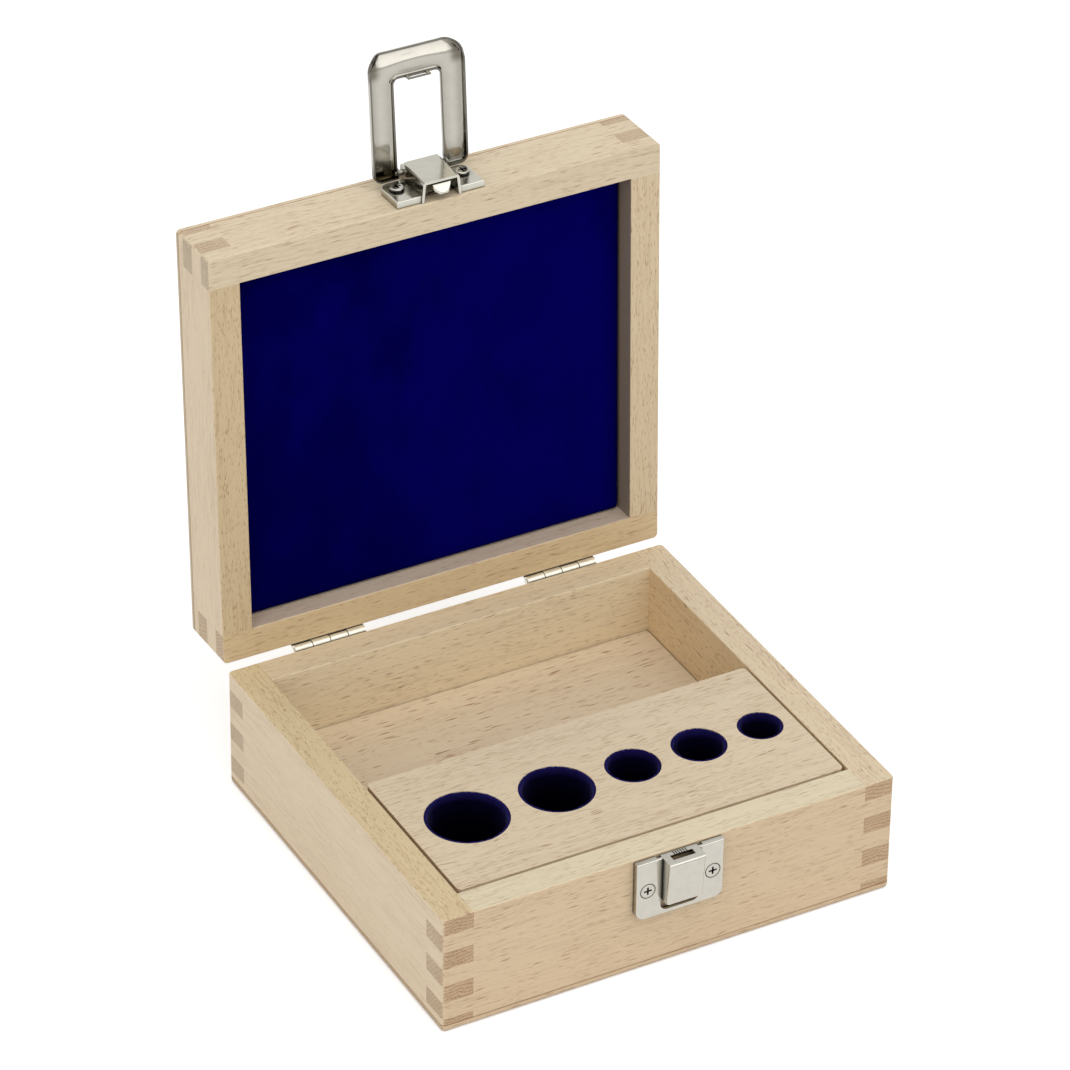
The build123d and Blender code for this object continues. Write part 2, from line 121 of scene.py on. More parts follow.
def reckon(tree, operation, *values, kind="ShaderNodeMath"):
    """One step of arithmetic on values."""
    node = add_node(tree, kind, operation=operation)
    for value, into in zip(values, node.inputs):
        feed(tree, value, into)
    return node.outputs[0]


def seen_directly(tree):
    """One where a ray comes from the camera, a mirror or glass, and zero for plain light."""
    rays = add_node(tree, "ShaderNodeLightPath").outputs
    first = reckon(tree, "MAXIMUM", rays["Is Camera Ray"], rays["Is Glossy Ray"])
    return reckon(tree, "MAXIMUM", first, rays["Is Transmission Ray"])


print("helpers for node trees")

# %% The world: a white tent
tent_light = 0.64
world = bpy.data.worlds.new("white tent")
world.use_nodes = True
bpy.context.scene.world = world
tree = world.node_tree
tree.nodes.clear()
strength = add_node(tree, "ShaderNodeMapRange", inputs={"To Min": tent_light, "To Max": 1.0})
tent = add_node(tree, "ShaderNodeBackground", inputs={"Color": (1.0, 1.0, 1.0, 1.0)})
world_out = add_node(tree, "ShaderNodeOutputWorld")
join(tree, seen_directly(tree), strength.inputs["Value"],
     strength.outputs["Result"], tent.inputs["Strength"],
     tent.outputs[0], world_out.inputs["Surface"])
print("tent light", tent_light)

# %% The floor
floor_glow = 0.4
bpy.ops.object.select_all(action="DESELECT")
bpy.ops.mesh.primitive_plane_add(size=8.0, location=(0.0, 0.0, 0.0))
floor = bpy.context.object
floor.name = "pale_floor"
floor_paint = bpy.data.materials.new("pale floor")
floor_paint.use_nodes = True
tree = floor_paint.node_tree
tree.nodes.clear()
paper = add_node(tree, "ShaderNodeBsdfDiffuse", inputs={"Color": (0.86, 0.86, 0.855, 1.0)})
glow = add_node(tree, "ShaderNodeEmission", inputs={"Color": (1.0, 1.0, 1.0, 1.0)})
both = add_node(tree, "ShaderNodeAddShader")
out = add_node(tree, "ShaderNodeOutputMaterial")
join(tree, reckon(tree, "MULTIPLY", seen_directly(tree), floor_glow), glow.inputs["Strength"],
     paper.outputs[0], both.inputs[0], glow.outputs[0], both.inputs[1],
     both.outputs[0], out.inputs["Surface"])
floor.data.materials.append(floor_paint)
print("floor", [round(v, 2) for v in floor.dimensions])

# %% The lamps
case_middle = (0.0, 0.0, 0.08)


def area_lamp(name, size, power, place, target):
    """A square soft lamp that looks at a point."""
    data = bpy.data.lights.new(name, "AREA")
    data.size = size
    data.energy = power
    lamp = bpy.data.objects.new(name, data)
    bpy.context.scene.collection.objects.link(lamp)
    lamp.location = place
    lamp.rotation_euler = (Vector(target) - Vector(place)).to_track_quat("-Z", "Y").to_euler()
    return lamp


roof = area_lamp("tent roof", 1.4, 8.6, (-0.35, -0.45, 1.7), case_middle)
window = area_lamp("left window", 1.0, 3.2, (-1.5, -0.5, 0.8), case_middle)
window.visible_glossy = False
front = area_lamp("front lamp", 1.0, 3.4, (0.62, -0.86, 1.25), (0.0, 0.05, 0.15))
print("lamps of", [lamp.data.energy for lamp in (roof, window, front)], "watts")

# %% [markdown]
# Bright metal shows whatever stands round it, and in a white tent it would turn flat white. A
# photographer holds dark cards just outside the picture, which draw dark edges into the metal.
# These cards are seen by shiny surfaces only: they throw no shadow and take no light away.

# %% The dark cards
lid_middle = (0.0, 0.1, 0.20)
black = bpy.data.materials.new("black card")
black.use_nodes = True
black_inputs = black.node_tree.nodes["Principled BSDF"].inputs
black_inputs["Base Color"].default_value = (0.05, 0.05, 0.05, 1.0)
black_inputs["Roughness"].default_value = 1.0


def dark_card(name, size, place):
    """A black card that faces the lid and that only shiny surfaces see."""
    bpy.ops.object.select_all(action="DESELECT")
    turned = (Vector(lid_middle) - Vector(place)).to_track_quat("Z", "Y").to_euler()
    bpy.ops.mesh.primitive_plane_add(size=size, location=place, rotation=turned)
    card = bpy.context.object
    card.name = name
    card.data.materials.append(black)
    card.visible_camera = False
    card.visible_diffuse = False
    card.visible_shadow = False
    return card


cards = [dark_card("right card", 0.5, (0.78, -0.33, 0.26)),
         dark_card("front card", 0.3, (-0.20, -0.80, 0.18)),
         dark_card("left card", 0.55, (-0.78, -0.45, 1.0))]
print(len(cards), "dark cards")

# %% [markdown]
# ## Beech
#
# Beech is pale, with short dark dashes along the grain: the ends of its rays. Its growth rings
# are faint on a board's face and plain on end grain, which also drinks more finish and looks
# darker. A photo of wood wrapped round each board would repeat and would not meet at the
# corners. So the wood is built as one block of pattern in space, in millimetres, and each board
# shows the slice that it cuts: dashes on its face, rings and dots on its ends.
#
# The pattern reads places in the case as it is shut, because the case was glued up shut and
# sawn apart. The grain of the lid then carries on from the grain of the base.

# %% The figure of beech, as a node group
figure = bpy.data.node_groups.new("Beech figure", "ShaderNodeTree")
for name, kind in (("Place", "NodeSocketVector"), ("Pith", "NodeSocketVector"),
                   ("Pale", "NodeSocketColor"), ("Brown", "NodeSocketColor"),
                   ("End", "NodeSocketFloat"), ("Seam", "NodeSocketFloat"),
                   ("Flecks", "NodeSocketFloat"), ("Long flecks", "NodeSocketFloat"),
                   ("Rings", "NodeSocketFloat"), ("Patches", "NodeSocketFloat"),
                   ("Fineness", "NodeSocketFloat")):
    figure.interface.new_socket(name, in_out="INPUT", socket_type=kind)
for name, kind in (("Colour", "NodeSocketColor"), ("Height", "NodeSocketFloat"),
                   ("Roughness", "NodeSocketFloat")):
    figure.interface.new_socket(name, in_out="OUTPUT", socket_type=kind)
group_out = add_node(figure, "NodeGroupOutput")
given = add_node(figure, "NodeGroupInput").outputs
print("figure takes", [socket.name for socket in given if socket.name])


# %% [markdown]
# A board is never quite straight in its grain. A slow noise pushes the pattern sideways by a
# millimetre or two, a quicker one by half a millimetre, and everything that follows the grain
# reads this wavy place.

# %% Wavy grain
def reckon_place(tree, operation, *values):
    """One step of arithmetic on places."""
    return reckon(tree, operation, *values, kind="ShaderNodeVectorMath")


def noise(tree, place, size, detail):
    """A soft noise about half, whose lumps have a size in millimetres, its own each way."""
    node = add_node(tree, "ShaderNodeTexNoise",
                    inputs={"Scale": 1.0, "Detail": detail, "Roughness": 0.55})
    join(tree, reckon_place(tree, "DIVIDE", place, size), node.inputs["Vector"])
    return node


def swayed(tree, place, size, reach):
    """The place pushed sideways by a slow noise, by up to half the reach in millimetres."""
    sway = noise(tree, place, size, 1.5).outputs["Color"]
    centred = reckon_place(tree, "SUBTRACT", sway, (0.5, 0.5, 0.5))
    pushed = reckon_place(tree, "MULTIPLY", centred, (0.0, reach, reach))
    return reckon_place(tree, "ADD", place, pushed)


slow_reach, quick_reach = 3.4, 1.1
slow_place = swayed(figure, given["Place"], (34.0, 9.0, 9.0), slow_reach)
grain_place = swayed(figure, slow_place, (9.0, 4.0, 4.0), quick_reach)
print("grain sways by up to", slow_reach / 2, "mm slowly and", quick_reach / 2, "mm quickly")


# %% [markdown]
# A fleck is a small spindle, long along the grain. Voronoi cells that are stretched along the
# grain hold one spindle each, and a limit on the distance from the cell's point cuts it out.
# Two sets are used: a few long bold dashes, and many short faint ones. The short ones are
# packed closer on the side boards, which were sawn from finer wood.

# %% Flecks
def times(tree, value, share):
    """A value times a share, which is a number or another value."""
    return reckon(tree, "MULTIPLY", value, share)


def between(tree, value, low, high, to_low=0.0, to_high=1.0):
    """A smooth step of a value from one limit to another."""
    node = add_node(tree, "ShaderNodeMapRange", interpolation_type="SMOOTHSTEP",
                    inputs={"From Min": low, "From Max": high,
                            "To Min": to_low, "To Max": to_high})
    join(tree, value, node.inputs["Value"])
    return node.outputs["Result"]


def flecks(tree, place, cell, reach):
    """Spindles with one to each stretched cell; reach is their size as a share of a cell."""
    node = add_node(tree, "ShaderNodeTexVoronoi", inputs={"Scale": 1.0, "Randomness": 1.0})
    join(tree, reckon_place(tree, "DIVIDE", place, cell), node.inputs["Vector"])
    spindle = between(tree, node.outputs["Distance"], 0.15 * reach, reach, 1.0, 0.0)
    tone = add_node(tree, "ShaderNodeSeparateColor")
    join(tree, node.outputs["Color"], tone.inputs[0])
    return times(tree, spindle, between(tree, tone.outputs[0], 0.1, 0.9, 0.25, 1.0))


bold_cell, bold_reach = (10.0, 0.95, 1.2), 0.30
short_cell, short_reach = (4.6, 0.5, 0.6), 0.38
bold = flecks(figure, grain_place, bold_cell, bold_reach)
finer = add_node(figure, "ShaderNodeVectorMath", operation="SCALE")
join(figure, grain_place, finer.inputs[0], given["Fineness"], finer.inputs["Scale"])
short = flecks(figure, finer.outputs[0], short_cell, short_reach)
print("long flecks of about", round(2 * bold_reach * bold_cell[0], 1), "mm, short ones of about",
      round(2 * short_reach * short_cell[0], 1), "mm")


# %% [markdown]
# The rings are cylinders round the tree's pith, which lies outside the board. The board's
# material says where, so each board can be cut from another part of the tree. Fibres are a very
# fine noise, drawn out along the grain. Patches are slow changes of tone.

# %% Rings, fibres and patches
from_pith = reckon_place(figure, "SUBTRACT", grain_place, given["Pith"])
ring = add_node(figure, "ShaderNodeTexWave", wave_type="RINGS", rings_direction="X",
                wave_profile="SAW",
                inputs={"Scale": 0.26, "Distortion": 2.0, "Detail": 2.0, "Detail Scale": 0.05})
join(figure, from_pith, ring.inputs["Vector"])
late_wood = reckon(figure, "POWER", ring.outputs["Fac"], 2.5)

fibre = noise(figure, grain_place, (7.0, 0.16, 0.16), 3.0)
thread = noise(figure, grain_place, (22.0, 0.6, 0.6), 2.0)
patch = noise(figure, grain_place, (55.0, 11.0, 11.0), 2.0)
print("rings, fibres, threads and patches")


# %% [markdown]
# All of it is added up as one shade, from pale to brown, so that every mark darkens towards the
# same warm brown as it does in wood. Grey marks would look printed on.

# %% From shade to colour
def added(tree, *values):
    """The sum of several values."""
    total = values[0]
    for value in values[1:]:
        total = reckon(tree, "ADD", total, value)
    return total


def about_zero(tree, node):
    """A noise's value with its middle at zero."""
    return reckon(tree, "SUBTRACT", node.outputs["Fac"], 0.5)


def mixed(tree, share, first, second, way="MIX"):
    """A mix of two colours, each of them plain or another node's output."""
    node = add_node(tree, "ShaderNodeMix", data_type="RGBA", blend_type=way)
    for value, into in ((share, "Factor"), (first, "A"), (second, "B")):
        feed(tree, value, node.inputs[into])
    return node.outputs["Result"]


end_rings, end_shade, seam_and_foot_shade = 0.34, 0.37, 0.8
fibre_shade, thread_shade, groove = 0.75, 0.8, -0.2
ring_shade = added(figure, given["Rings"], times(figure, given["End"], end_rings))
on_face = between(figure, given["End"], 0.0, 0.5, 1.0, 0.25)
shade = added(figure,
              times(figure, times(figure, bold, given["Long flecks"]), on_face),
              times(figure, times(figure, short, given["Flecks"]), on_face),
              times(figure, late_wood, ring_shade),
              times(figure, about_zero(figure, fibre), fibre_shade),
              times(figure, about_zero(figure, thread), thread_shade),
              times(figure, about_zero(figure, patch), given["Patches"]),
              times(figure, given["End"], end_shade),
              times(figure, given["Seam"], seam_and_foot_shade))
height = added(figure, times(figure, fibre.outputs["Fac"], 0.5), times(figure, short, groove),
               times(figure, bold, groove))
join(figure, mixed(figure, shade, given["Pale"], given["Brown"]), group_out.inputs["Colour"],
     height, group_out.inputs["Height"],
     between(figure, shade, 0.0, 0.6, 0.5, 0.66), group_out.inputs["Roughness"])
print("beech figure has", len(figure.nodes), "nodes")

# %% [markdown]
# Patterns read Object coordinates. Each piece's object sits at the origin, so they are places in
# the case, and they stay with a piece when it moves. The lid stands open by 92 degrees about its
# hinges. A Mapping node turns its places back to where they were in the shut case, so one
# pattern serves both halves.

# %% Places in the shut case
lid_angle = radians(92.0)
hinge_mm = Vector(frame["joints"][0]["pos_m"]) * 1000.0
shut_turn = Matrix.Rotation(lid_angle, 3, "X")
shut_shift = hinge_mm - shut_turn @ hinge_mm


def in_millimetres(tree, coordinates, in_lid=False):
    """Places in millimetres. Those in the lid can be turned back to where they are when shut."""
    node = add_node(tree, "ShaderNodeMapping", inputs={"Scale": (1000.0, 1000.0, 1000.0)})
    if in_lid:
        node.inputs["Rotation"].default_value = (lid_angle, 0.0, 0.0)
        node.inputs["Location"].default_value = shut_shift
    join(tree, coordinates.outputs["Object"], node.inputs["Vector"])
    return node.outputs["Vector"]


print("hinge at", [round(v, 1) for v in hinge_mm], "mm")


# %% [markdown]
# Some marks belong to one face or one height only: end grain, the sawn rim and a few inner faces,
# whose tints are painted light and shade, the glue line of a panel and the painted shadow at the
# case's foot. A mask picks each out. The direction in which a face looks tells the faces apart,
# and the distance from a height gives the line.

# %% Masks for faces and lines
def split(tree, place):
    """The X, Y and Z of a place."""
    node = add_node(tree, "ShaderNodeSeparateXYZ")
    join(tree, place, node.inputs[0])
    return node.outputs


def facing(tree, coordinates, direction):
    """One where a face looks in a direction."""
    dot = add_node(tree, "ShaderNodeVectorMath", operation="DOT_PRODUCT")
    dot.inputs[1].default_value = direction
    join(tree, coordinates.outputs["Normal"], dot.inputs[0])
    return between(tree, dot.outputs["Value"], 0.6, 0.95)


def tinted(tree, colour, mask, tint):
    """A colour times a tint where the mask is one."""
    return mixed(tree, mask, colour, (*tint, 1.0), "MULTIPLY")


def how_far(tree, value, middle):
    """How far a value is from a middle, to either side."""
    return reckon(tree, "ABSOLUTE", reckon(tree, "SUBTRACT", value, middle))


def glue_line_and_foot_shadow(tree, place, height):
    """A thin line where a panel is glued on, and painted shadow along the foot of the shut case.
    """
    z = split(tree, place)["Z"]
    line = between(tree, how_far(tree, z, height), 0.07, 0.26, 1.0, 0.0)
    # Painted shadow: the lowest millimetre of the shut case is darkened, where it stands on the
    # floor.
    return added(tree, line, between(tree, z, 0.3, 1.2, 0.9, 0.0))


print("masks for ends, rims and glue lines")


# %% [markdown]
# Every finish starts in the same way, with a new material, and ends with a fine bump.

# %% A new finish
def new_finish(name):
    """A new material: itself, its node tree, its shader and its coordinates."""
    material = bpy.data.materials.new(name)
    material.use_nodes = True
    tree = material.node_tree
    return material, tree, tree.nodes["Principled BSDF"], add_node(tree, "ShaderNodeTexCoord")


def bumped(tree, shader, height, strength, distance):
    """Give a shader a fine bump."""
    bump = add_node(tree, "ShaderNodeBump", inputs={"Strength": strength, "Distance": distance})
    join(tree, height, bump.inputs["Height"], bump.outputs["Normal"], shader.inputs["Normal"])


def dress(node, material):
    """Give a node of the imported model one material."""
    frame["nodes"][node].data.materials.clear()
    frame["nodes"][node].data.materials.append(material)


print("nodes that can be dressed:", len(frame["nodes"]))


# %% [markdown]
# A second Mapping node turns the pattern so that its first axis runs along the board, and moves
# it, so that no two boards are cut from the same wood.

# %% Beech for one board
late_brown = (0.30, 0.150, 0.070, 1.0)


def beech(name, pale, in_lid=False, side=False, shift=(0.0, 0.0, 0.0), pith=(0.0, 20.0, 90.0),
          flecks_share=0.5, long_share=0.6, rings=0.07, patches=0.3, seam=None, end_share=1.0,
          end_tint=(1.0, 0.93, 0.86), rim=(1.0, 1.0, 1.0), painted_face_light=None, calm=None, fineness=1.0):
    """Beech for one board: its tone, its place in the tree and how strong its marks are.

    The sawn rim, the faces that look up, can have a tint, and so can the face that looks in one
    more given direction. Both tints are painted light and shade, which set how bright each face
    looks. The face that looks in the direction calm shows few flecks.
    """
    material, tree, shader, coordinates = new_finish(name)
    place = in_millimetres(tree, coordinates, in_lid)
    unturn = shut_turn.transposed() if in_lid else Matrix.Identity(3)
    along = unturn @ Vector((0.0, 1.0, 0.0) if side else (1.0, 0.0, 0.0))
    up = unturn @ Vector((0.0, 0.0, -1.0) if in_lid else (0.0, 0.0, 1.0))
    turn = add_node(tree, "ShaderNodeMapping", inputs={"Location": shift})
    if side:
        turn.inputs["Rotation"].default_value = (0.0, 0.0, radians(-90.0))
    wood = add_node(tree, "ShaderNodeGroup", node_tree=figure,
                    inputs={"Brown": late_brown, "Pith": pith, "Flecks": flecks_share,
                            "Long flecks": long_share, "Rings": rings, "Patches": patches,
                            "Fineness": fineness})
    # Painted light and shade: the rim and one more face take tints of their own, lighter or darker
    # as each is lit.
    tone = tinted(tree, (*pale, 1.0), facing(tree, coordinates, up), rim)
    if painted_face_light is not None:
        direction, tint = painted_face_light
        tone = tinted(tree, tone, facing(tree, coordinates, unturn @ Vector(direction)), tint)
    ends = added(tree, facing(tree, coordinates, along), facing(tree, coordinates, -along))
    join(tree, place, turn.inputs["Vector"], turn.outputs["Vector"], wood.inputs["Place"],
         tinted(tree, tone, ends, end_tint), wood.inputs["Pale"],
         times(tree, ends, end_share), wood.inputs["End"])
    if calm is not None:
        busy = between(tree, facing(tree, coordinates, unturn @ Vector(calm)), 0.0, 1.0, 1.0, 0.2)
        join(tree, times(tree, busy, flecks_share), wood.inputs["Flecks"],
             times(tree, busy, long_share), wood.inputs["Long flecks"])
    if seam is not None:
        join(tree, glue_line_and_foot_shadow(tree, place, seam), wood.inputs["Seam"])
    join(tree, wood.outputs["Colour"], shader.inputs["Base Color"],
         wood.outputs["Roughness"], shader.inputs["Roughness"])
    bumped(tree, shader, wood.outputs["Height"], 0.2, 0.00008)
    shader.inputs["Specular IOR Level"].default_value = 0.3
    return material


print("brown of the late wood", late_brown[:3])

# %% Dress the boards
base_seam = 2.5
lid_seam = 60.8
honey = (0.745, 0.575, 0.385)
biscuit = (0.74, 0.605, 0.425)
towards_front = (0.0, -1.0, 0.0)
towards_left = (-1.0, 0.0, 0.0)
towards_right = (1.0, 0.0, 0.0)
left_cut = dict(side=True, shift=(900.0, 11.0, 30.0), pith=(0.0, 75.0, -150.0),
                calm=towards_left, flecks_share=1.15, long_share=0.4, fineness=1.5)
right_cut = dict(side=True, shift=(1300.0, -20.0, 50.0), pith=(0.0, -90.0, -150.0),
                 calm=towards_right, flecks_share=0.95, long_share=0.6, fineness=1.4)
front_cut = dict(shift=(12.0, 0.0, 0.0), end_share=0.6, end_tint=(0.83, 0.86, 0.89))
back_cut = dict(front_cut, shift=(430.0, 40.0, 7.0), flecks_share=0.6, long_share=0.7)
panel_cut = dict(end_share=0.45, end_tint=(0.82, 0.86, 0.88))
lid_part = dict(in_lid=True, seam=lid_seam)
lid_side = dict(lid_part, pale=biscuit, end_share=0.7, end_tint=(0.93, 0.95, 0.95))
# The rim tints and the tints of single inner faces below are painted light and shade. On the lid's
# right board it is painted shade beside the velvet; on the lid's back board it is painted shade
# with a painted blue cast from the velvet.
boards = {
    "front_board": dict(front_cut, pale=(0.725, 0.56, 0.37), seam=base_seam,
                        rim=(1.04, 1.17, 1.24)),
    "back_board": dict(back_cut, pale=(0.765, 0.61, 0.425), seam=base_seam,
                       rim=(0.93, 0.94, 0.89), painted_face_light=(towards_front, (1.10, 1.16, 1.15))),
    "left_board": dict(left_cut, pale=biscuit, seam=base_seam, rim=(0.93, 0.91, 0.78)),
    "right_board": dict(right_cut, pale=biscuit, seam=base_seam, rim=(0.99, 0.99, 0.97),
                        painted_face_light=(towards_left, (0.97, 0.90, 0.76))),
    "lid_front_board": dict(front_cut, **lid_part, pale=(0.73, 0.61, 0.43)),
    "lid_back_board": dict(back_cut, **lid_part, pale=honey, rim=(0.93, 0.93, 0.83),
                           painted_face_light=(towards_front, (0.77, 0.80, 0.92))),
    "lid_left_board": dict(left_cut, **lid_side, rim=(0.88, 0.84, 0.74)),
    "lid_right_board": dict(right_cut, **lid_side, rim=(0.95, 0.94, 0.88),
                            painted_face_light=(towards_left, (0.31, 0.31, 0.35))),
    "bottom_panel": dict(panel_cut, pale=(0.69, 0.53, 0.35), shift=(1700.0, 3.0, 9.0),
                         seam=base_seam),
    "lid_top_panel": dict(panel_cut, **lid_part, pale=biscuit, shift=(2100.0, 3.0, 9.0)),
    "weight_block": dict(pale=(0.712, 0.592, 0.416), shift=(2500.0, 3.0, 9.0),
                         pith=(0.0, -20.0, -60.0), flecks_share=0.6, long_share=0.7, rings=0.1),
    "compartment_floor": dict(pale=(0.70, 0.57, 0.40), shift=(2900.0, 5.0, 2.0),
                              flecks_share=0.5, long_share=1.4, patches=0.6),
}
for node, finish in boards.items():
    dress(node, beech("beech " + node.replace("_", " "), **finish))
print(len(boards), "pieces of beech")

# %% [markdown]
# ## Velvet
#
# Velvet is a dense pile of short upright fibres. Looked into, it swallows light and shows its
# deepest colour; looked along, the tips catch light and it turns paler. A sheen layer on the
# shader does that, and a fine bump breaks up the surface as the pile does.

# %% The velvet
def velvet(name, deep, light, tips, sheen, rim_height=None):
    """Velvet between a deep and a light blue. With a rim height, painted light and shade make it
    dark deep down and lighter just under the rim.
    """
    material, tree, shader, coordinates = new_finish(name)
    place = in_millimetres(tree, coordinates)
    strokes = noise(tree, place, (17.0, 17.0, 26.0), 3.0)
    pile = noise(tree, place, (0.25, 0.25, 0.25), 2.0)
    tone = added(tree, times(tree, strokes.outputs["Fac"], 0.65),
                 times(tree, pile.outputs["Fac"], 0.35))
    if rim_height is None:
        # The cushion's velvet turns lighter from left to right.
        lighter_rightward = between(tree, split(tree, place)["X"], -60.0, 64.0, -0.08, 0.14)
        share = between(tree, added(tree, tone, lighter_rightward), 0.32, 0.68)
    else:
        frayed = times(tree, about_zero(tree, pile), 2.0)
        height = added(tree, split(tree, place)["Z"], frayed)
        # Painted light and shade: dark deep in the seat, lighter up the wall and in a band just
        # under the rim.
        lit_band = between(tree, height, rim_height - 3.4, rim_height - 0.7, 0.0, 0.85)
        lit_wall = between(tree, height, rim_height - 12.0, rim_height, 0.0, 0.2)
        share = times(tree, between(tree, tone, 0.3, 0.6, 0.5, 1.0), added(tree, lit_band, lit_wall))
    blue = mixed(tree, share, (*deep, 1.0), (*light, 1.0))
    join(tree, blue, shader.inputs["Base Color"])
    bumped(tree, shader, pile.outputs["Fac"], 0.5, 0.0002)
    shader.inputs["Roughness"].default_value = 1.0
    shader.inputs["Specular IOR Level"].default_value = 0.0
    shader.inputs["Sheen Weight"].default_value = sheen
    shader.inputs["Sheen Roughness"].default_value = 0.3
    shader.inputs["Sheen Tint"].default_value = (*tips, 1.0)
    return material


lid_velvet = velvet("navy velvet", deep=(0.0006, 0.0001, 0.062), light=(0.0014, 0.0003, 0.105),
                    tips=(0.02, 0.01, 0.55), sheen=0.08)
# In the seats the nearly black deep colour is painted shade.
seat_velvet = velvet("seat velvet", deep=(0.0003, 0.0002, 0.003), light=(0.013, 0.010, 0.085),
                     tips=(0.30, 0.26, 0.75), sheen=0.35, rim_height=40.4)
print("velvets", lid_velvet.name, "and", seat_velvet.name)

# %% [markdown]
# ## The lid's cushion
#
# In the lid the velvet is stretched over a thin slab of foam and tucked in round its edges. The
# face is nearly flat, with a low crown and soft rolled edges. A block with bevelled edges gives
# the slab. The remesh makes even small faces for the cloth, and a little pressure from inside
# then lifts the free face while the tucked sides are held, as foam does. It is made as if the
# lid were shut, where it lies level, and is turned with the lid at the end.

# %% A slab of foam under cloth
def only(piece):
    """Make one piece the selected and active one."""
    bpy.ops.object.select_all(action="DESELECT")
    piece.select_set(True)
    bpy.context.view_layer.objects.active = piece


def edit(piece):
    """Open one piece in edit mode with everything selected."""
    only(piece)
    bpy.ops.object.mode_set(mode="EDIT")
    bpy.ops.mesh.select_all(action="SELECT")


def apply(piece, kind, name, **settings):
    """Add a modifier, set it up and apply it."""
    modifier = piece.modifiers.new(name, kind)
    for key, value in settings.items():
        setattr(modifier, key, value)
    only(piece)
    bpy.ops.object.modifier_apply(modifier=modifier.name)


pad_half = Vector((0.0647, 0.0592))
pad_face = 0.0470
pad_back = 0.0608
pad_middle = (0.0, 0.0, (pad_face + pad_back) / 2)
bpy.ops.object.select_all(action="DESELECT")
bpy.ops.mesh.primitive_cube_add(size=1.0, location=pad_middle)
cushion = bpy.context.object
cushion.name = "lid_cushion"
edit(cushion)
bpy.ops.transform.resize(value=(2 * pad_half.x, 2 * pad_half.y, pad_back - pad_face),
                         center_override=pad_middle)
bpy.ops.mesh.bevel(offset=0.0011, segments=3, affect="EDGES")
bpy.ops.object.mode_set(mode="OBJECT")
bpy.ops.object.transform_apply(location=True, rotation=True, scale=True)
apply(cushion, "REMESH", "even faces", mode="VOXEL", voxel_size=0.0013)
print("slab of", len(cushion.data.vertices), "points")

# %% The crown of the cushion
crown = 0.0007
free_depth = 0.0015


def swell(piece, held_above, frames=12):
    """Each point's start and how far it moves when the face is pressed out from inside."""
    start = [vertex.co.copy() for vertex in piece.data.vertices]
    held = piece.vertex_groups.new(name="held")
    held.add([i for i, co in enumerate(start) if co.z > held_above], 1.0, "REPLACE")
    cloth = piece.modifiers.new("velvet", "CLOTH")
    cloth.settings.quality = 3
    cloth.settings.tension_stiffness = 40.0
    cloth.settings.compression_stiffness = 40.0
    cloth.settings.bending_stiffness = 4.0
    cloth.settings.use_pressure = True
    cloth.settings.uniform_pressure_force = 4.0
    cloth.settings.vertex_group_mass = "held"
    cloth.settings.effector_weights.gravity = 0.0
    cloth.point_cache.frame_start = 1
    cloth.point_cache.frame_end = frames
    for number in range(1, frames + 1):
        bpy.context.scene.frame_set(number)
    only(piece)
    bpy.ops.object.modifier_apply(modifier=cloth.name)
    moves = [vertex.co - old for vertex, old in zip(piece.data.vertices, start)]
    bpy.context.scene.frame_set(1)
    return start, moves


start, moves = swell(cushion, pad_face + free_depth)
furthest = max(move.length for move in moves)
kept = min(1.0, crown / furthest)
for vertex, old, move in zip(cushion.data.vertices, start, moves):
    vertex.co = old + move * kept
print("the cloth rose", round(1000 * furthest, 2), "mm and kept",
      round(1000 * furthest * kept, 2), "mm")

# %% Turn the cushion with the lid
for vertex in cushion.data.vertices:
    vertex.co.x = max(-pad_half.x, min(pad_half.x, vertex.co.x))
    vertex.co.y = max(-pad_half.y, min(pad_half.y, vertex.co.y))
    vertex.co.z = min(pad_back, vertex.co.z)
edit(cushion)
bpy.ops.transform.rotate(value=lid_angle, orient_axis="X", center_override=hinge_mm / 1000.0)
bpy.ops.mesh.normals_make_consistent(inside=False)
bpy.ops.object.mode_set(mode="OBJECT")
bpy.ops.object.shade_smooth()
cushion.data.materials.append(lid_velvet)
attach(cushion, "lid")
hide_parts("lid_pad", "lid_velvet")


def compare(piece, node):
    """Print where a piece lies beside the node that it stands for."""
    low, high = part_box(node)
    for axis in "xyz":
        places = [getattr(vertex.co, axis) for vertex in piece.data.vertices]
        print(piece.name, axis, [round(1000 * v, 1) for v in (min(places), max(places))],
              node, [round(1000 * getattr(corner, axis), 1) for corner in (low, high)])


compare(cushion, "lid_velvet")

# %% [markdown]
# ## The seats' liners
#
# Each seat is lined with velvet glued to its wall and floor, cut level with the block. A disc is
# extruded upwards into a cup, the cup gets the thickness of the cloth, and its rim is rounded.
# A light uneven push makes the cut edge as soft as a pile is. The sizes come from the packed
# model's own cups, which these pieces stand for.

# %% Line the seats
cloth_thickness = 0.0008
rim_steps = (0.0014, 0.0010, 0.0006)
rim_rounding = 0.00022
fuzz_strength = 0.00055
fuzz = bpy.data.textures.new("cut pile", "CLOUDS")
fuzz.noise_scale = 0.0011
fuzz.noise_depth = 2


def choose(piece, kind, test):
    """Select only the points, edges or faces that pass a test of their places."""
    bpy.ops.mesh.select_mode(type=kind)
    bpy.ops.mesh.select_all(action="DESELECT")
    bpy.ops.object.mode_set(mode="OBJECT")
    points = piece.data.vertices
    elements = {"VERT": points, "EDGE": piece.data.edges, "FACE": piece.data.polygons}[kind]
    for element in elements:
        corners = [element.index] if kind == "VERT" else element.vertices
        element.select = all(test(points[i].co) for i in corners)
    bpy.ops.object.mode_set(mode="EDIT")


def pull(x=0.0, y=0.0, z=0.0):
    """Extrude the selected edges and write the mesh back, so that its points can be read."""
    bpy.ops.mesh.extrude_edges_move(TRANSFORM_OT_translate={"value": (x, y, z)})
    bpy.ops.object.mode_set(mode="OBJECT")
    bpy.ops.object.mode_set(mode="EDIT")


